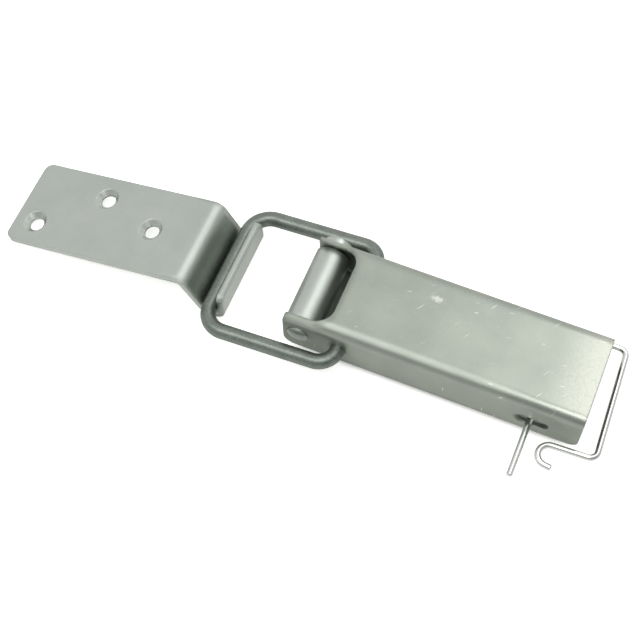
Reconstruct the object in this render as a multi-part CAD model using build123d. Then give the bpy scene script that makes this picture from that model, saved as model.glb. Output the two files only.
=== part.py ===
from build123d import *
import os
from math import asin, atan2, cos, degrees, hypot, radians, sin, tan

# Over-centre hasp: a cranked keeper plate, a round-rod loop hooked into it, a folded lever with a
# rolled-knuckle base plate under it, and a bent-wire clip through the lever's slots.
# Millimetres. +X runs from the keeper to the lever's free end, +Z is up off the mounting surface,
# and the origin is the middle of the base plate's four screw holes, on its underside.

# Screw holes, the same in both plates
screw_hole_d = 7.0
countersink_d = 11.4
countersink_angle = 90.0

# Base plate, with one end cranked up and rolled into the hinge knuckle
base_thickness = 4.0
knuckle_side_clearance = 1.0
base_screw_pitch_x = 44.0
base_screw_pitch_y = 18.0
base_end_margin = 17.0
base_corner_r = 4.0
pivot_to_screws = 52.0
pivot_height = 16.0
riser_angle = 45.0
riser_inner_r = 3.0
riser_to_knuckle = 2.0
knuckle_turn_angle = 293.0

# Rivet through the ears and the knuckle: its domed head at the back, its low upset end in front
rivet_d = 8.0
rivet_head_d = 14.0
rivet_head_rim = 3.3
rivet_head_dome = 1.5
rivet_upset_d = 9.6
rivet_upset_rim = 0.4
rivet_upset_dome = 0.8
rivet_running_clearance = 0.08
rivet_ear_clearance = 0.05

# Lever, a channel folded from one sheet, open underneath and at its free end
lever_sheet = 2.5
lever_width = 45.0
lever_height = 23.5
lever_length = 136.3
lever_ground_gap = 5.0
lever_inner_bend_r = 2.5
ear_overhang = 7.0
ear_upper_corner_r = 3.5
ear_lower_corner_r = 5.0
lever_end_corner_r = 4.5
notch_depth = 20.3
notch_edge_inset = 0.4
notch_corner_r = 8.0

# Slots for the clip, one in each wall of the lever
slot_length = 15.0
slot_height = 7.0
slot_centre_from_end = 21.3
slot_centre_height = 8.4

# Loop of round rod, its two ends turned in through the lever's walls
rod_d = 7.0
rod_running_clearance = 0.08
loop_pivot_ahead = 19.0
loop_pivot_drop = 1.0
rail_to_rivet_head = 0.45
loop_bar_corner_r = 10.5
loop_end_corner_r = 8.5
loop_end_inside = 7.0
rod_end_chamfer = 0.6

# Keeper, a plate cranked down into a trough with a turned-up lip; it lies a little to the back,
# in the loop's side play
keeper_thickness = 3.0
keeper_width = 44.0
keeper_flat_length = 91.7
keeper_bend_inner_r = 2.2
keeper_crank_angle = 75.6
keeper_slope_run = 15.8
trough_r = 4.2
trough_turn_angle = 155.5
lip_run = 11.1
lip_corner_r = 3.0
keeper_corner_r = 4.0
trough_from_pivot = 43.8
keeper_side_shift = 0.7
bar_shift_x = 0.1
bar_shift_z = 1.3
keeper_screw_end_margin = 10.9
keeper_screw_bend_margin = 22.8
keeper_screw_stagger = 10.4

# Clip of round spring wire, in one level plane
wire_d = 2.8
wire_end_chamfer = 0.4
clip_seat_gap = 0.3
clip_back_gap = 2.4
clip_bend_r = 3.5
clip_pin_from_slot_middle = 1.0
clip_pin_reach = 25.9
clip_back_leg = 29.3
clip_splay_angle = 2.6
clip_side_leg = 54.3
clip_front_leg = 19.1
clip_hook_r = 4.8
clip_hook_turn_angle = 170.6
clip_hook_tip = 3.1

# Places worked out from the sizes above
pivot_x = -pivot_to_screws
ear_tip_x = pivot_x - ear_overhang
lever_end_x = ear_tip_x + lever_length
wall_outer_y = lever_width / 2
wall_inner_y = wall_outer_y - lever_sheet
base_width = 2 * (wall_inner_y - knuckle_side_clearance)
rail_y = wall_outer_y + rivet_head_rim + rivet_head_dome + rail_to_rivet_head + rod_d / 2
slot_x = lever_end_x - slot_centre_from_end
slot_z = lever_ground_gap + slot_centre_height
loop_pivot_x = pivot_x + loop_pivot_ahead
loop_pivot_z = pivot_height - loop_pivot_drop
trough_x = pivot_x - trough_from_pivot
trough_z = trough_r + keeper_thickness


def run_edge(at, heading, steps, side):
    """One edge of a folded strip: side is how far it lies to the left of the strip's middle line."""
    at = Vector(at) + Vector(-sin(radians(heading)), cos(radians(heading))) * side
    edges = []
    for length, turn, middle_r in steps:
        if length:
            edges.append(Line(at, at + Vector(cos(radians(heading)), sin(radians(heading))) * length))
            at = edges[-1] @ 1
        if turn:
            tangent = (cos(radians(heading)), sin(radians(heading)))
            edges.append(JernArc(at, tangent, middle_r - side * (1 if turn > 0 else -1), turn))
            at = edges[-1] @ 1
            heading += turn
    return edges


def folded_strip(at, heading, steps, thickness):
    """Face of a strip of even thickness, from (straight run, turn, middle radius) steps."""
    left = run_edge(at, heading, steps, thickness / 2)
    right = run_edge(at, heading, steps, -thickness / 2)
    start_cap = Line(left[0] @ 0, right[0] @ 0)
    end_cap = Line(left[-1] @ 1, right[-1] @ 1)
    return make_face(Curve() + [*left, *right, start_cap, end_cap])


def plate_from_section(section, width):
    """Plate of the given width, from a section drawn with X along the hasp and Y up."""
    return extrude(Plane.XZ * section, width / 2, both=True)


def screw_hole(thickness):
    """Countersunk hole to cut through a plate whose upper face is at Z = 0."""
    sink_depth = (countersink_d - screw_hole_d) / 2 / tan(radians(countersink_angle / 2))
    above = Pos(0, 0, thickness / 2) * Cylinder(countersink_d / 2, thickness)
    sink = Pos(0, 0, -sink_depth / 2) * Cone(screw_hole_d / 2, countersink_d / 2, sink_depth)
    return above + sink + Cylinder(screw_hole_d / 2, thickness * 3)


def round_bar(path, diameter, end_chamfer):
    """Round bar swept along a path, with its cut ends chamfered."""
    start = Plane(path @ 0, z_dir=path % 0)
    bar = sweep(start * Circle(diameter / 2), path=path)
    ends = [bar.edges().filter_by(GeomType.CIRCLE).sort_by_distance(path @ end)[0] for end in (0, 1)]
    return chamfer(ends, end_chamfer)


def upright_corners(plate, x, radius):
    """Round the two upright corners of a level plate at the given X."""
    corners = plate.edges().filter_by(Axis.Z).filter_by_position(Axis.X, x - 0.01, x + 0.01)
    return fillet(corners, radius)


def make_base_plate():
    """Flat plate under the lever, cranked up and rolled round the rivet."""
    knuckle_inner_r = rivet_d / 2 + rivet_running_clearance
    knuckle_middle_r = knuckle_inner_r + base_thickness / 2
    bend_middle_r = riser_inner_r + base_thickness / 2
    end_x = base_screw_pitch_x / 2 + base_end_margin
    rise = pivot_height - knuckle_middle_r - base_thickness / 2
    riser_run = rise - 2 * bend_middle_r * (1 - cos(radians(riser_angle)))
    riser_run /= sin(radians(riser_angle))
    riser_reach = 2 * bend_middle_r * sin(radians(riser_angle)) + riser_run * cos(radians(riser_angle))
    flat_run = end_x - pivot_x - riser_to_knuckle - riser_reach
    steps = [
        (flat_run, -riser_angle, bend_middle_r),
        (riser_run, riser_angle, bend_middle_r),
        (riser_to_knuckle, -knuckle_turn_angle, knuckle_middle_r),
    ]
    section = folded_strip((end_x, base_thickness / 2), 180, steps, base_thickness)
    plate = upright_corners(plate_from_section(section, base_width), end_x, base_corner_r)
    upper_face = Plane.XY.offset(base_thickness)
    holes = upper_face * GridLocations(base_screw_pitch_x, base_screw_pitch_y, 2, 2)
    return plate - holes * screw_hole(base_thickness)


def make_pivot_rivet():
    """Rivet with a domed head against the back ear and a low, upset end against the front one."""
    rivet = Cylinder(rivet_d / 2, lever_width)
    for side, diameter, rim, dome in (
        (0, rivet_head_d, rivet_head_rim, rivet_head_dome),
        (180, rivet_upset_d, rivet_upset_rim, rivet_upset_dome),
    ):
        dome_r = ((diameter / 2) ** 2 + dome**2) / (2 * dome)
        head = Cylinder(diameter / 2, rim + dome, align=(Align.CENTER, Align.CENTER, Align.MIN))
        head &= Pos(0, 0, rim + dome - dome_r) * Sphere(dome_r)
        rivet += Rot(side, 0, 0) * Pos(0, 0, lever_width / 2) * head
    return Pos(pivot_x, 0, pivot_height) * Rot(-90, 0, 0) * rivet


def make_lever():
    """Folded channel with two ears, a notch over the knuckle and a slot in each wall."""
    bend_middle_r = lever_inner_bend_r + lever_sheet / 2
    wall_run = lever_height - lever_sheet - lever_inner_bend_r
    top_run = lever_width - 2 * (lever_sheet + lever_inner_bend_r)
    steps = [(wall_run, 90, bend_middle_r), (top_run, 90, bend_middle_r), (wall_run, 0, 0)]
    section = folded_strip((wall_outer_y - lever_sheet / 2, lever_ground_gap), 90, steps, lever_sheet)
    channel = Pos(ear_tip_x, 0, 0) * extrude(Plane.YZ * section, lever_length)

    outline = Pos(ear_tip_x, lever_ground_gap) * Rectangle(lever_length, lever_height, align=Align.MIN)
    for x, z, radius in (
        (ear_tip_x, lever_ground_gap + lever_height, ear_upper_corner_r),
        (ear_tip_x, lever_ground_gap, ear_lower_corner_r),
        (lever_end_x, lever_ground_gap, lever_end_corner_r),
    ):
        outline = fillet(outline.vertices().sort_by_distance((x, z))[0], radius)
    through = lever_width * 1.2
    lever = channel & plate_from_section(outline, through)

    notch_width = 2 * (wall_inner_y - notch_edge_inset)
    notch = RectangleRounded(2 * notch_depth, notch_width, notch_corner_r)
    lever -= extrude(Pos(ear_tip_x, 0, lever_ground_gap) * notch, lever_height)

    slot = Pos(slot_x, 0, slot_z) * Rot(90, 0, 0) * SlotOverall(slot_length, slot_height)
    lever -= extrude(slot, through / 2, both=True)
    for x, z, radius in (
        (pivot_x, pivot_height, rivet_d / 2 + rivet_ear_clearance),
        (loop_pivot_x, loop_pivot_z, rod_d / 2 + rod_running_clearance),
    ):
        lever -= Pos(x, 0, z) * Rot(90, 0, 0) * Cylinder(radius, through)
    return lever


def make_loop():
    """Rod bent to a rectangle, hanging from the lever's walls down to the keeper's trough."""
    bar_x = trough_x + bar_shift_x
    bar_z = trough_z + bar_shift_z
    reach = hypot(loop_pivot_x - bar_x, loop_pivot_z - bar_z)
    end_y = wall_inner_y - loop_end_inside
    points = [(0, -end_y), (0, -rail_y), (reach, -rail_y), (reach, rail_y), (0, rail_y), (0, end_y)]
    radii = [loop_end_corner_r, loop_bar_corner_r, loop_bar_corner_r, loop_end_corner_r]
    lie = Plane(
        origin=(loop_pivot_x, 0, loop_pivot_z),
        x_dir=(bar_x - loop_pivot_x, 0, bar_z - loop_pivot_z),
        z_dir=(loop_pivot_z - bar_z, 0, bar_x - loop_pivot_x),
    )
    return round_bar(lie * FilletPolyline(*points, radius=radii), rod_d, rod_end_chamfer)


def keeper_pitch(trough_centre):
    """Tilt at which the keeper lies on its trough and on the lower edge of its flat's far end."""
    reach = keeper_flat_length + trough_centre.X
    rise = -keeper_thickness - trough_centre.Y
    trough_outer_r = trough_r + keeper_thickness
    return degrees(atan2(rise, reach) + asin(trough_outer_r / hypot(reach, rise)))


def make_keeper():
    """Plate cranked down to a trough for the loop's bar, with the lip's corners rounded."""
    bend_middle_r = keeper_bend_inner_r + keeper_thickness / 2
    steps = [
        (keeper_flat_length, -keeper_crank_angle, bend_middle_r),
        (keeper_slope_run, trough_turn_angle, trough_r + keeper_thickness / 2),
        (lip_run, 0, 0),
    ]
    section = folded_strip((-keeper_flat_length, -keeper_thickness / 2), 0, steps, keeper_thickness)
    plate = upright_corners(plate_from_section(section, keeper_width), -keeper_flat_length, keeper_corner_r)
    first_screw = keeper_screw_end_margin - keeper_flat_length
    middle_screw = (first_screw - keeper_screw_bend_margin) / 2
    for x, y in (
        (first_screw, -keeper_screw_stagger),
        (middle_screw, keeper_screw_stagger),
        (-keeper_screw_bend_margin, 0),
    ):
        plate -= Pos(x, y, 0) * screw_hole(keeper_thickness)

    middle = run_edge((-keeper_flat_length, -keeper_thickness / 2), 0, steps, 0)
    lip_end = middle[-1] @ 1
    corners = [(lip_end.X, side * keeper_width / 2, lip_end.Y) for side in (-1, 1)]
    plate = fillet([plate.edges().sort_by_distance(corner)[0] for corner in corners], lip_corner_r)

    trough_centre = middle[3].arc_center
    pitch = keeper_pitch(trough_centre)
    seat = Pos(trough_x, keeper_side_shift, trough_z) * Rot(0, -pitch, 0)
    return seat * Pos(-trough_centre.X, 0, -trough_centre.Y) * plate


def make_safety_clip():
    """Wire bent to a frame: a straight pin through both slots, and a hook to catch its tip."""
    pin_x = slot_x - clip_pin_from_slot_middle
    back_y = wall_outer_y + clip_back_gap + wire_d / 2
    tip_y = -wall_outer_y - clip_pin_reach
    pin_z = slot_z - slot_height / 2 + clip_seat_gap + wire_d / 2
    steps = [
        (back_y - tip_y - clip_bend_r, -90, clip_bend_r),
        (clip_back_leg - 2 * clip_bend_r, clip_splay_angle - 90, clip_bend_r),
        (clip_side_leg - 2 * clip_bend_r, -90, clip_bend_r),
        (clip_front_leg - clip_bend_r, clip_hook_turn_angle, clip_hook_r),
        (clip_hook_tip, 0, 0),
    ]
    path = Wire(run_edge((pin_x, tip_y), 90, steps, 0))
    return round_bar(Pos(0, 0, pin_z) * path, wire_d, wire_end_chamfer)


nodes = {
    "base_plate": make_base_plate(),
    "pivot_rivet": make_pivot_rivet(),
    "lever": make_lever(),
    "loop": make_loop(),
    "keeper": make_keeper(),
    "safety_clip": make_safety_clip(),
}

os.makedirs("parts", exist_ok=True)
for name, solid in nodes.items():
    export_step(solid, f"parts/{name}.step")
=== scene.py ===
from functools import partial
from math import cos, log, radians, sin

import bpy
from bpy.props import FloatProperty, FloatVectorProperty, PointerProperty
from mathutils import Matrix, Vector


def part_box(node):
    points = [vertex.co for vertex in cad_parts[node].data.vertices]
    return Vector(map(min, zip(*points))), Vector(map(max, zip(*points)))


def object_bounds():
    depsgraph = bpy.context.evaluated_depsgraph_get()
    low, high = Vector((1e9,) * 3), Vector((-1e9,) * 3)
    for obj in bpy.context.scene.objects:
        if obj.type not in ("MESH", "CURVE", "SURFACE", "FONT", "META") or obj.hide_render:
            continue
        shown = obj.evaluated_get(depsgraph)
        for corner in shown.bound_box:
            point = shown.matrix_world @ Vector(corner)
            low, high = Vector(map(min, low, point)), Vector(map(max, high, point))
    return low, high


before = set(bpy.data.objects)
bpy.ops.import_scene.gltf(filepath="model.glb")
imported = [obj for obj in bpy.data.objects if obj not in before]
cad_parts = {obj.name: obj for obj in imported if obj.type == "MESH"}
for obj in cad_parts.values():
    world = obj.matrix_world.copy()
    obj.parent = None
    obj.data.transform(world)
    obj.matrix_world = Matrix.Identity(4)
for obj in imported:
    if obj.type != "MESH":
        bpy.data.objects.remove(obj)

bl_info = {
    "name": "Over-centre hasp",
    "version": (1, 0, 0),
    "blender": (4, 5, 0),
    "location": "View3D > Sidebar > Hasp",
    "description": "Zinc finishes, floor, lights and camera for an over-centre hasp",
    "category": "Object",
}

CAD_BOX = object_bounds()
KEEPER_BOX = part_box("keeper")
LEVER_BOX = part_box("lever")
MM = 0.001

# Zinc's own grain is finer than a pixel, so it is drawn about a millimetre wide.
GRAIN_MM = 1.2
SHINE_SPREAD = 0.015

# Scratches on the lever: length, width, turn about the upright axis in degrees, share of the places taken.
SCRATCHES = ((9.0, 0.6, 55.0, 0.04), (5.0, 0.7, 12.0, 0.025))

FLOOR_DROP = 0.2 * MM

# How the room's brightness rises along X and Y, and which way its wide glows lie.
ROOM_SLOPE = (-0.3, 0.12, 0.0)
BACK_SIDE = Vector((0.16, 0.43, 0.89)).normalized()
RIGHT_SIDE = Vector((0.74, 0.43, 0.5)).normalized()
FAR_SIDE = Vector((0.0, 0.99, 0.15)).normalized()


def linear(hex_code):
    """Linear RGBA of an sRGB hex colour."""
    channels = [int(hex_code[i : i + 2], 16) / 255 for i in (1, 3, 5)]
    return [c / 12.92 if c <= 0.04045 else ((c + 0.055) / 1.055) ** 2.4 for c in channels] + [1.0]


def colour_property(name, description, hex_code):
    """Colour that a user may change, given as an sRGB hex value."""
    return FloatVectorProperty(
        name=name, description=description, subtype="COLOR", size=4, default=linear(hex_code)
    )


def per_mm(size_mm):
    """Texture scale whose cells are about size_mm across, for coordinates in metres."""
    return 1 / (size_mm * MM)


def add_node(tree, kind, links=(), **settings):
    """Add a node, set its properties, and link or set its inputs from (input, socket or value) pairs."""
    node = tree.nodes.new(kind)
    for name, value in settings.items():
        setattr(node, name, value)
    for name, source in links:
        if isinstance(source, bpy.types.NodeSocket):
            tree.links.new(source, node.inputs[name])
        else:
            node.inputs[name].default_value = source
    return node


def new_material(name):
    """Empty node material, and the coordinates that its patterns start from."""
    material = bpy.data.materials.new(name)
    material.use_nodes = True
    material.node_tree.nodes.clear()
    places = add_node(material.node_tree, "ShaderNodeTexCoord").outputs
    return material, material.node_tree, places


def dress(node_name, material):
    """Put a material on a piece, over the plain one that it came with."""
    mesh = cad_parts[node_name].data
    mesh.materials.clear()
    mesh.materials.append(material)


def scratches(tree, where, length_mm, width_mm, turn, share):
    """Mask of short, thin scratches: stretched cells, of which only a share is marked at its middle."""
    laid = add_node(
        tree,
        "ShaderNodeMapping",
        [
            ("Vector", where),
            ("Rotation", (0.0, 0.0, radians(turn))),
            ("Scale", (length_mm * MM, width_mm * MM, length_mm * MM)),
        ],
        vector_type="TEXTURE",
    )
    cells = add_node(tree, "ShaderNodeTexVoronoi", [("Vector", laid.outputs["Vector"]), ("Scale", 1.0)])
    middle = add_node(
        tree,
        "ShaderNodeMapRange",
        [("Value", cells.outputs["Distance"]), ("From Min", 0.28), ("From Max", 0.14)],
    )
    draw = add_node(tree, "ShaderNodeSeparateColor", [("Color", cells.outputs["Color"])]).outputs
    marked = add_node(tree, "ShaderNodeMath", [(0, draw["Red"]), (1, share)], operation="LESS_THAN")
    depth = add_node(
        tree, "ShaderNodeMath", [(0, draw["Green"]), (1, marked.outputs["Value"])], operation="MULTIPLY"
    )
    mask = add_node(
        tree,
        "ShaderNodeMath",
        [(0, middle.outputs["Result"]), (1, depth.outputs["Value"])],
        operation="MULTIPLY",
    )
    return mask.outputs["Value"]


def scuff(tree, where, grain, finish):
    """Mask of one oval mark, its edge broken up by the plating's grain."""
    laid = add_node(
        tree,
        "ShaderNodeMapping",
        [("Vector", where), ("Location", finish.scuff_place), ("Scale", finish.scuff_size)],
        vector_type="TEXTURE",
    )
    spread = add_node(tree, "ShaderNodeVectorMath", [(0, laid.outputs["Vector"])], operation="LENGTH")
    ragged = add_node(
        tree,
        "ShaderNodeMath",
        [(0, grain), (1, 0.8), (2, spread.outputs["Value"])],
        operation="MULTIPLY_ADD",
    )
    mask = add_node(
        tree,
        "ShaderNodeMapRange",
        [
            ("Value", ragged.outputs["Value"]),
            ("From Min", 0.9),
            ("From Max", 0.6),
            ("To Max", finish.scuff_strength),
        ],
    )
    return mask.outputs["Result"]


def zinc_plating(name, light, dark, roughness, cloud_mm, speckle, edge_mm, bend=None, wear_and_sheen=None):
    """Zinc-plated steel: a grey metal with soft clouds, a speckle that spreads its shine, eased edges."""
    material, tree, places = new_material(name)
    where = places["Object"]
    clouds = add_node(
        tree,
        "ShaderNodeTexNoise",
        [("Vector", where), ("Scale", per_mm(cloud_mm)), ("Detail", 3.0), ("Roughness", 0.55)],
    )
    grain = add_node(
        tree,
        "ShaderNodeTexNoise",
        [("Vector", where), ("Scale", per_mm(GRAIN_MM)), ("Detail", 2.0), ("Roughness", 0.6)],
    ).outputs["Fac"]
    blotch = add_node(
        tree,
        "ShaderNodeMapRange",
        [("Value", clouds.outputs["Fac"]), ("From Min", 0.3), ("From Max", 0.7)],
    )
    cloudy = add_node(
        tree,
        "ShaderNodeMix",
        [("Factor", blotch.outputs["Result"]), ("A", dark), ("B", light)],
        data_type="RGBA",
    )
    speck = add_node(
        tree,
        "ShaderNodeMapRange",
        [
            ("Value", grain),
            ("From Min", 0.35),
            ("From Max", 0.65),
            ("To Min", 1.0 - speckle),
            ("To Max", 1.0 + speckle),
        ],
    )
    colour = add_node(
        tree,
        "ShaderNodeVectorMath",
        [(0, cloudy.outputs["Result"]), ("Scale", speck.outputs["Result"])],
        operation="SCALE",
    ).outputs["Vector"]
    # Marks laid over the colour; on the lever, a painted highlight on the free end's top is among them.
    if wear_and_sheen:
        colour = wear_and_sheen(tree, places, grain, colour)
    shine = add_node(
        tree,
        "ShaderNodeMapRange",
        [
            ("Value", grain),
            ("From Min", 0.3),
            ("From Max", 0.7),
            ("To Min", roughness - SHINE_SPREAD),
            ("To Max", roughness + SHINE_SPREAD),
        ],
    )
    relief_mm = 0.05 * speckle
    relief = add_node(
        tree,
        "ShaderNodeBump",
        [("Height", grain), ("Distance", relief_mm * MM), ("Strength", 0.5)],
    )
    eased = add_node(tree, "ShaderNodeBevel", [("Radius", edge_mm * MM)])
    if bend:
        # The sheet turns in a wider sweep where it is folded than at its cut edges, so its edges are eased
        # over a wider radius near the fold.
        start_x, full_x, bend_mm = bend
        along = add_node(tree, "ShaderNodeSeparateXYZ", [("Vector", where)])
        sweep = add_node(
            tree,
            "ShaderNodeMapRange",
            [
                ("Value", along.outputs["X"]),
                ("From Min", start_x),
                ("From Max", full_x),
                ("To Min", edge_mm * MM),
                ("To Max", bend_mm * MM),
            ],
        )
        tree.links.new(sweep.outputs["Result"], eased.inputs["Radius"])
    tree.links.new(eased.outputs["Normal"], relief.inputs["Normal"])
    metal = add_node(
        tree,
        "ShaderNodeBsdfPrincipled",
        [
            ("Base Color", colour),
            ("Metallic", 1.0),
            ("Roughness", shine.outputs["Result"]),
            ("Normal", relief.outputs["Normal"]),
        ],
    )
    add_node(tree, "ShaderNodeOutputMaterial", [("Surface", metal.outputs["BSDF"])])
    return material


class HaspFinish(bpy.types.PropertyGroup):
    """Colours and shine of the hasp's metal."""

    plate_light: colour_property("Plate, light", "Zinc on plates and rivet, where it is bright", "#C5CBC4")
    plate_dark: colour_property("Plate, dark", "Zinc on plates and rivet, where it is dull", "#BDC3BD")
    sheet_light: colour_property("Lever, light", "Zinc on the lever's sheet, where it is bright", "#A8AEA3")
    sheet_dark: colour_property("Lever, dark", "Zinc on the lever's sheet, where it is dull", "#9CA299")
    # Lever's paler end: partly rubbed wear, partly a painted highlight on its top.
    sheet_worn_and_sheen: colour_property("Lever, rubbed", "Zinc on the lever's free end, rubbed by hands", "#C2C5BA")
    sheet_bare: colour_property("Lever, nicked", "Bright metal in the lever's scratches", "#ECEDE6")
    rod_light: colour_property("Loop, light", "Dull zinc on the loop's rod, where it is bright", "#858C85")
    rod_dark: colour_property("Loop, dark", "Dull zinc on the loop's rod, where it is dull", "#787F79")
    wire_light: colour_property("Clip, light", "Bright zinc on the clip's wire", "#E8EAE7")
    wire_dark: colour_property("Clip, dark", "Bright zinc on the clip's wire, where handled", "#DDE0DC")
    satin: FloatProperty(
        name="Satin",
        description="How far the plated plate and sheet spread their shine",
        subtype="FACTOR",
        min=0.05,
        max=1.0,
        default=0.36,
    )
    dull: FloatProperty(
        name="Dull",
        description="How far the loop's rod spreads its shine",
        subtype="FACTOR",
        min=0.05,
        max=1.0,
        default=0.42,
    )
    bright: FloatProperty(
        name="Bright",
        description="How far the clip's wire spreads its shine",
        subtype="FACTOR",
        min=0.05,
        max=1.0,
        default=0.22,
    )
    keeper_bend: FloatProperty(
        name="Keeper's bend",
        description="Where along the hasp the keeper's flat turns down",
        unit="LENGTH",
        default=KEEPER_BOX[0].x + 89 * MM,
    )
    # Length of the lever's paler end, partly rubbed wear and partly a painted highlight on its top.
    wear_and_sheen_length: FloatProperty(
        name="Rubbed length",
        description="How far from its free end the lever is rubbed paler",
        unit="LENGTH",
        default=25 * MM,
    )
    scuff_strength: FloatProperty(
        name="Scuff strength",
        description="How much of the bare metal shows in the scuff",
        subtype="FACTOR",
        min=0.0,
        max=1.0,
        default=0.5,
    )
    scuff_place: FloatVectorProperty(
        name="Scuff",
        description="Middle of the pale scuff on the lever's top",
        subtype="TRANSLATION",
        unit="LENGTH",
        size=3,
        default=(0.6 * MM, 10.4 * MM, LEVER_BOX[1].z),
    )
    scuff_size: FloatVectorProperty(
        name="Scuff size",
        description="Length, breadth and depth of the scuff",
        subtype="XYZ",
        unit="LENGTH",
        size=3,
        default=(7.0 * MM, 3.5 * MM, 3.5 * MM),
    )


class HaspStage(bpy.types.PropertyGroup):
    """Floor, lights and camera."""

    floor_colour: colour_property("Floor", "Plain pale sheet under the hasp", "#F4F4F2")
    floor_glow: FloatProperty(
        name="Floor glow",
        description="Light through the floor's white sheet from below, which keeps shadows faint",
        subtype="FACTOR",
        min=0.0,
        soft_max=1.0,
        default=0.7,
    )
    floor_size: FloatProperty(
        name="Floor size",
        description="Side of the square floor",
        unit="LENGTH",
        default=4.0,
    )
    back_place: FloatVectorProperty(
        name="Back softbox's place",
        description="Where the softbox behind hangs; it faces the hasp",
        subtype="TRANSLATION",
        unit="LENGTH",
        size=3,
        default=(0.17, 0.47, 0.97),
    )
    top_place: FloatVectorProperty(
        name="Top softbox's place",
        description="Where the softbox overhead hangs; it faces straight down",
        subtype="TRANSLATION",
        unit="LENGTH",
        size=3,
        default=(-0.25, -0.31, 1.04),
    )
    back_size: FloatVectorProperty(
        name="Back softbox's size",
        description="Width and height of the softbox behind",
        unit="LENGTH",
        size=2,
        default=(0.4, 0.45),
    )
    top_size: FloatVectorProperty(
        name="Top softbox's size",
        description="Width and height of the softbox overhead",
        unit="LENGTH",
        size=2,
        default=(1.1, 0.46),
    )
    back_power: FloatProperty(
        name="Back softbox",
        description="Power of the softbox behind, which brightens the bends and the lever's free end",
        unit="POWER",
        default=0.85,
    )
    top_power: FloatProperty(
        name="Top softbox",
        description="Power of the softbox overhead, which draws the bright line along the lever's fold",
        unit="POWER",
        default=5.0,
    )
    room_light: FloatProperty(
        name="Room",
        description="Brightness of the room, which is paler to the left",
        subtype="FACTOR",
        min=0.0,
        soft_max=1.0,
        default=0.66,
    )
    back_glow: FloatProperty(
        name="Back glow",
        description="Brightness of the wide glow round the back softbox",
        subtype="FACTOR",
        min=0.0,
        soft_max=1.0,
        default=0.75,
    )
    right_glow: FloatProperty(
        name="Right glow",
        description="Brightness of the wide glow to the right, which lets the bends fade slowly",
        subtype="FACTOR",
        min=0.0,
        soft_max=1.0,
        default=0.2,
    )
    far_glow: FloatProperty(
        name="Far glow",
        description="Brightness of the wide glow low down behind, which draws the far edges",
        subtype="FACTOR",
        min=0.0,
        soft_max=1.0,
        default=0.4,
    )
    camera_place: FloatVectorProperty(
        name="Camera",
        description="Where the camera stands, from the middle of the base plate's screw holes",
        subtype="TRANSLATION",
        unit="LENGTH",
        size=3,
        default=(0.0662, -0.2623, 0.5482),
    )
    camera_yaw: FloatProperty(
        name="Turn",
        description="Turn of the view about the upright axis",
        subtype="ANGLE",
        default=radians(24.09),
    )
    camera_pitch: FloatProperty(
        name="Tilt",
        description="How far the view looks down",
        subtype="ANGLE",
        default=radians(62.79),
    )
    camera_roll: FloatProperty(
        name="Roll",
        description="Turn of the camera about its own line of sight",
        subtype="ANGLE",
        default=radians(-1.73),
    )
    camera_lens: FloatProperty(
        name="Lens",
        description="Focal length on a 36 mm sensor, in millimetres",
        unit="CAMERA",
        default=76.33,
    )


class HASP_OT_finish_plates(bpy.types.Operator):
    """Give the keeper and the base plate their satin zinc"""

    bl_idname = "hasp.finish_plates"
    bl_label = "Finish the plates"

    def execute(self, context):
        finish = context.scene.hasp_finish
        bend_start = finish.keeper_bend - 12 * MM
        # Rolled plate under clear zinc: an even grey with soft clouds and a grain that blurs reflections.
        zinc = zinc_plating(
            "zinc_plated_steel_plate_satin",
            finish.plate_light,
            finish.plate_dark,
            roughness=finish.satin,
            cloud_mm=18.0,
            speckle=0.015,
            edge_mm=0.6,
            bend=(bend_start, finish.keeper_bend, 4.0),
        )
        dress("keeper", zinc)
        dress("base_plate", zinc)
        return {"FINISHED"}


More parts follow.
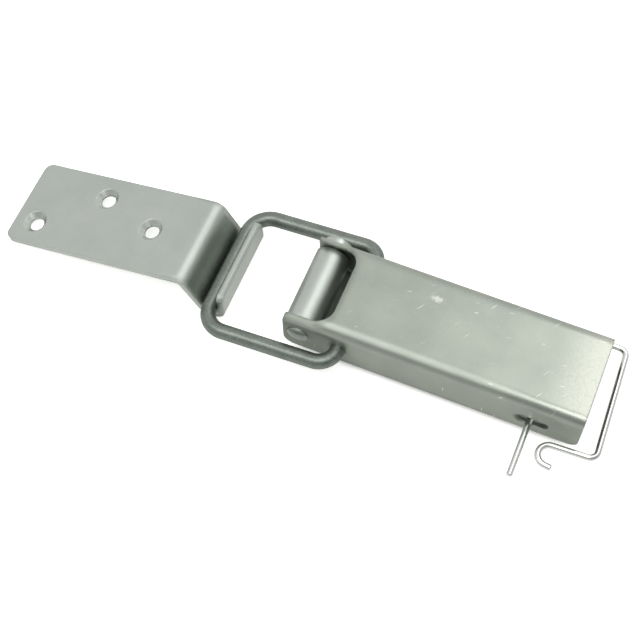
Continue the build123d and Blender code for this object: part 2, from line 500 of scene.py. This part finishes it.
class HASP_OT_finish_lever(bpy.types.Operator):
    """Give the lever its satin zinc with handling marks and a painted highlight on top of its free end"""

    bl_idname = "hasp.finish_lever"
    bl_label = "Finish the lever"

    def execute(self, context):
        finish = context.scene.hasp_finish
        fold_start = LEVER_BOX[1].x - 17 * MM
        fold_full = LEVER_BOX[1].x - 47 * MM
        # Folded sheet under clear zinc: satin grey, paler on its top towards the free end, partly rubbed
        # wear and partly a painted highlight, and scratched by hands.
        zinc = zinc_plating(
            "zinc_plated_steel_sheet_satin",
            finish.sheet_light,
            finish.sheet_dark,
            roughness=finish.satin,
            cloud_mm=22.0,
            speckle=0.02,
            edge_mm=1.0,
            bend=(fold_start, fold_full, 4.5),
            wear_and_sheen=partial(self.wear_and_sheen, finish),
        )
        dress("lever", zinc)
        return {"FINISHED"}

    def wear_and_sheen(self, finish, tree, places, grain, colour):
        """Lay the paler end, partly rubbed wear and partly a painted highlight on its top, a scuff and
        scattered scratches over the plating's colour.
        """
        where = places["Object"]
        end_x = LEVER_BOX[1].x
        along = add_node(tree, "ShaderNodeSeparateXYZ", [("Vector", where)])
        facing = add_node(tree, "ShaderNodeSeparateXYZ", [("Vector", places["Normal"])])
        # Paler free end: partly rubbed wear, partly a painted highlight, laid only on the upward faces,
        # where the light falls.
        rubbed = add_node(
            tree,
            "ShaderNodeMapRange",
            [
                ("Value", along.outputs["X"]),
                ("From Min", end_x - finish.wear_and_sheen_length),
                ("From Max", end_x),
            ],
            interpolation_type="SMOOTHSTEP",
        )
        top_for_sheen = add_node(tree, "ShaderNodeMapRange", [("Value", facing.outputs["Z"]), ("From Min", 0.7)])
        patchy = add_node(
            tree,
            "ShaderNodeMapRange",
            [("Value", grain), ("From Min", 0.35), ("From Max", 0.6), ("To Min", 0.55)],
        )
        top_wear_and_sheen = add_node(
            tree,
            "ShaderNodeMath",
            [(0, rubbed.outputs["Result"]), (1, top_for_sheen.outputs["Result"])],
            operation="MULTIPLY",
        )
        patchy_wear_and_sheen = add_node(
            tree,
            "ShaderNodeMath",
            [(0, top_wear_and_sheen.outputs["Value"]), (1, patchy.outputs["Result"])],
            operation="MULTIPLY",
        )
        marks = [
            (patchy_wear_and_sheen.outputs["Value"], finish.sheet_worn_and_sheen),
            (scuff(tree, where, grain, finish), finish.sheet_bare),
        ]
        for length_mm, width_mm, turn, share in SCRATCHES:
            marks.append((scratches(tree, where, length_mm, width_mm, turn, share), finish.sheet_bare))
        for mask, tone in marks:
            colour = add_node(
                tree, "ShaderNodeMix", [("Factor", mask), ("A", colour), ("B", tone)], data_type="RGBA"
            ).outputs["Result"]
        return colour


class HASP_OT_finish_rivet(bpy.types.Operator):
    """Give the rivet its upset, plated heads"""

    bl_idname = "hasp.finish_rivet"
    bl_label = "Finish the rivet"

    def execute(self, context):
        finish = context.scene.hasp_finish
        # Upset steel under clear zinc: as bright as the plates, but mottled where it was struck.
        zinc = zinc_plating(
            "zinc_plated_steel_rivet_upset",
            finish.plate_light,
            finish.plate_dark,
            roughness=finish.satin,
            cloud_mm=5.0,
            speckle=0.06,
            edge_mm=0.4,
        )
        dress("pivot_rivet", zinc)
        return {"FINISHED"}


class HASP_OT_finish_loop(bpy.types.Operator):
    """Give the loop its dull zinc"""

    bl_idname = "hasp.finish_loop"
    bl_label = "Finish the loop"

    def execute(self, context):
        finish = context.scene.hasp_finish
        # Hot-bent rod under dull zinc: dark, speckled grey with a broad, weak streak along its top.
        zinc = zinc_plating(
            "zinc_plated_steel_rod_dull",
            finish.rod_light,
            finish.rod_dark,
            roughness=finish.dull,
            cloud_mm=9.0,
            speckle=0.12,
            edge_mm=0.3,
        )
        dress("loop", zinc)
        return {"FINISHED"}


class HASP_OT_finish_clip(bpy.types.Operator):
    """Give the clip its bright zinc"""

    bl_idname = "hasp.finish_clip"
    bl_label = "Finish the clip"

    def execute(self, context):
        finish = context.scene.hasp_finish
        # Drawn spring wire under bright zinc: almost a mirror, white towards the light, dark at its edges.
        zinc = zinc_plating(
            "zinc_plated_spring_wire_bright",
            finish.wire_light,
            finish.wire_dark,
            roughness=finish.bright,
            cloud_mm=6.0,
            speckle=0.03,
            edge_mm=0.2,
        )
        dress("safety_clip", zinc)
        return {"FINISHED"}


class HASP_OT_build_stage(bpy.types.Operator):
    """Lay the floor, hang the lights and set up the camera"""

    bl_idname = "hasp.build_stage"
    bl_label = "Build the stage"

    def execute(self, context):
        stage = context.scene.hasp_stage
        self.lay_floor(context.scene, stage)
        origin = Vector((0.0, 0.0, 0.0))
        below_top = Vector(stage.top_place) * Vector((1.0, 1.0, 0.0))
        self.hang_light(
            context.scene, "softbox_back", stage.back_place, origin, stage.back_size, stage.back_power
        )
        self.hang_light(
            context.scene, "softbox_top", stage.top_place, below_top, stage.top_size, stage.top_power
        )
        self.light_room(context.scene, stage)
        context.scene.view_settings.view_transform = "Standard"
        self.set_camera(context.scene, stage)
        return {"FINISHED"}

    def lay_floor(self, scene, stage):
        """Backlit white sheet, just under the lowest face of the hasp."""
        half = stage.floor_size / 2
        level = CAD_BOX[0].z - FLOOR_DROP
        mesh = bpy.data.meshes.new("floor")
        corners = [(-half, -half, level), (half, -half, level), (half, half, level), (-half, half, level)]
        mesh.from_pydata(corners, [], [(0, 1, 2, 3)])
        mesh.materials.append(self.backlit_sheet(stage))
        floor = bpy.data.objects.new("floor", mesh)
        scene.collection.objects.link(floor)

    def backlit_sheet(self, stage):
        """Matt white acrylic over a lamp: an even white with a faint tooth, on which shadows stay faint."""
        material, tree, places = new_material("acrylic_sheet_matt_backlit")
        tooth = add_node(tree, "ShaderNodeTexNoise", [("Vector", places["Object"]), ("Scale", per_mm(2.0))])
        relief = add_node(
            tree,
            "ShaderNodeBump",
            [("Height", tooth.outputs["Fac"]), ("Distance", 0.02 * MM), ("Strength", 0.3)],
        )
        # Painted shade: the glow fades out under the lever, wherever the lever is, so its channel and slots
        # look dark.
        beside = Vector((0.0, 1.0, 0.0)) * MM
        below = Vector((0.0, 0.0, 20.0)) * MM
        low = LEVER_BOX[0] - beside - below
        high = LEVER_BOX[1] + beside
        from_lever = add_node(tree, "ShaderNodeTexCoord", object=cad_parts["lever"])
        laid = add_node(
            tree,
            "ShaderNodeMapping",
            [
                ("Vector", from_lever.outputs["Object"]),
                ("Location", (low + high) / 2),
                ("Scale", (high - low) / 2),
            ],
            vector_type="TEXTURE",
        )
        reach = add_node(tree, "ShaderNodeVectorMath", [(0, laid.outputs["Vector"])], operation="ABSOLUTE")
        sides = add_node(tree, "ShaderNodeSeparateXYZ", [("Vector", reach.outputs["Vector"])]).outputs
        across = add_node(tree, "ShaderNodeMath", [(0, sides["X"]), (1, sides["Y"])], operation="MAXIMUM")
        widest = add_node(
            tree, "ShaderNodeMath", [(0, across.outputs["Value"]), (1, sides["Z"])], operation="MAXIMUM"
        )
        clear_of_painted_shade = add_node(
            tree,
            "ShaderNodeMapRange",
            [("Value", widest.outputs["Value"]), ("From Min", 0.75), ("From Max", 1.0)],
            interpolation_type="SMOOTHSTEP",
        )
        # The metal mirrors only the light that falls on the sheet, so its walls keep their shade.
        mirrored = add_node(tree, "ShaderNodeLightPath").outputs["Is Glossy Ray"]
        seen_glow = add_node(
            tree,
            "ShaderNodeMapRange",
            [("Value", mirrored), ("To Min", stage.floor_glow), ("To Max", 0.0)],
        )
        glow = add_node(
            tree,
            "ShaderNodeMath",
            [(0, clear_of_painted_shade.outputs["Result"]), (1, seen_glow.outputs["Result"])],
            operation="MULTIPLY",
        )
        sheet = add_node(
            tree,
            "ShaderNodeBsdfPrincipled",
            [
                ("Base Color", stage.floor_colour),
                ("Roughness", 0.9),
                ("Normal", relief.outputs["Normal"]),
                ("Emission Color", stage.floor_colour),
                ("Emission Strength", glow.outputs["Value"]),
            ],
        )
        add_node(tree, "ShaderNodeOutputMaterial", [("Surface", sheet.outputs["BSDF"])])
        return material

    def hang_light(self, scene, name, place, target, size, power):
        """Rectangular softbox that faces a target."""
        light = bpy.data.lights.new(name, "AREA")
        light.shape = "RECTANGLE"
        light.size, light.size_y = size
        light.energy = power
        lamp = bpy.data.objects.new(name, light)
        lamp.location = place
        lamp.rotation_euler = (target - lamp.location).to_track_quat("-Z", "Y").to_euler()
        scene.collection.objects.link(lamp)

    def light_room(self, scene, stage):
        """Plain room, paler to the left, with wide soft glows round the softboxes and behind."""
        world = bpy.data.worlds.new("plain_room")
        world.use_nodes = True
        tree = world.node_tree
        tree.nodes.clear()
        toward = add_node(tree, "ShaderNodeTexCoord").outputs["Generated"]
        pale_side = add_node(
            tree, "ShaderNodeVectorMath", [(0, toward), (1, ROOM_SLOPE)], operation="DOT_PRODUCT"
        )
        strength = add_node(
            tree,
            "ShaderNodeMath",
            [(0, pale_side.outputs["Value"]), (1, stage.room_light)],
            operation="ADD",
        ).outputs["Value"]
        for glow, half_angle, direction in (
            (stage.back_glow, 20.0, BACK_SIDE),
            (stage.right_glow, 28.0, RIGHT_SIDE),
            (stage.far_glow, 30.0, FAR_SIDE),
        ):
            # A glow falls off as the exponential of the angle's cosine, to half at its half angle.
            sharpness = log(2) / (1 - cos(radians(half_angle)))
            nearness = add_node(
                tree,
                "ShaderNodeVectorMath",
                [(0, toward), (1, direction)],
                operation="DOT_PRODUCT",
            )
            fall = add_node(
                tree,
                "ShaderNodeMath",
                [(0, nearness.outputs["Value"]), (1, sharpness), (2, -sharpness)],
                operation="MULTIPLY_ADD",
            )
            lobe = add_node(tree, "ShaderNodeMath", [(0, fall.outputs["Value"])], operation="EXPONENT")
            strength = add_node(
                tree,
                "ShaderNodeMath",
                [(0, lobe.outputs["Value"]), (1, glow), (2, strength)],
                operation="MULTIPLY_ADD",
            ).outputs["Value"]
        room = add_node(tree, "ShaderNodeBackground", [("Strength", strength)])
        add_node(tree, "ShaderNodeOutputWorld", [("Surface", room.outputs["Background"])])
        scene.world = world

    def set_camera(self, scene, stage):
        """Stand the camera where the view down onto the hasp was taken from."""
        yaw, pitch, roll = stage.camera_yaw, stage.camera_pitch, stage.camera_roll
        sight = Vector((-sin(yaw) * cos(pitch), cos(yaw) * cos(pitch), -sin(pitch)))
        right = Vector((cos(yaw), sin(yaw), 0.0))
        up = right.cross(sight)
        across = cos(roll) * right + sin(roll) * up
        upward = cos(roll) * up - sin(roll) * right
        lens = bpy.data.cameras.new("camera")
        lens.sensor_width = 36.0
        lens.lens = stage.camera_lens
        lens.clip_start, lens.clip_end = 0.01, 20.0
        camera = bpy.data.objects.new("camera", lens)
        turn = Matrix((across, upward, -sight)).transposed()
        camera.matrix_world = Matrix.Translation(stage.camera_place) @ turn.to_4x4()
        scene.collection.objects.link(camera)
        scene.camera = camera


class HASP_PT_sidebar(bpy.types.Panel):
    """Lists the hasp's finishes and its stage"""

    bl_idname = "HASP_PT_sidebar"
    bl_label = "Over-centre hasp"
    bl_space_type = "VIEW_3D"
    bl_region_type = "UI"
    bl_category = "Hasp"

    def draw(self, context):
        layout = self.layout
        for group in (context.scene.hasp_finish, context.scene.hasp_stage):
            for name in group.__annotations__:
                layout.prop(group, name)
        for operator in OPERATORS:
            layout.operator(operator.bl_idname)


OPERATORS = (
    HASP_OT_finish_plates,
    HASP_OT_finish_lever,
    HASP_OT_finish_rivet,
    HASP_OT_finish_loop,
    HASP_OT_finish_clip,
    HASP_OT_build_stage,
)
CLASSES = (HaspFinish, HaspStage, *OPERATORS, HASP_PT_sidebar)


def register():
    for cls in CLASSES:
        bpy.utils.register_class(cls)
    bpy.types.Scene.hasp_finish = PointerProperty(type=HaspFinish)
    bpy.types.Scene.hasp_stage = PointerProperty(type=HaspStage)


def unregister():
    del bpy.types.Scene.hasp_stage
    del bpy.types.Scene.hasp_finish
    for cls in reversed(CLASSES):
        bpy.utils.unregister_class(cls)


def main():
    register()
    bpy.ops.hasp.finish_plates()
    bpy.ops.hasp.finish_lever()
    bpy.ops.hasp.finish_rivet()
    bpy.ops.hasp.finish_loop()
    bpy.ops.hasp.finish_clip()
    bpy.ops.hasp.build_stage()


if __name__ == "__main__":
    main()
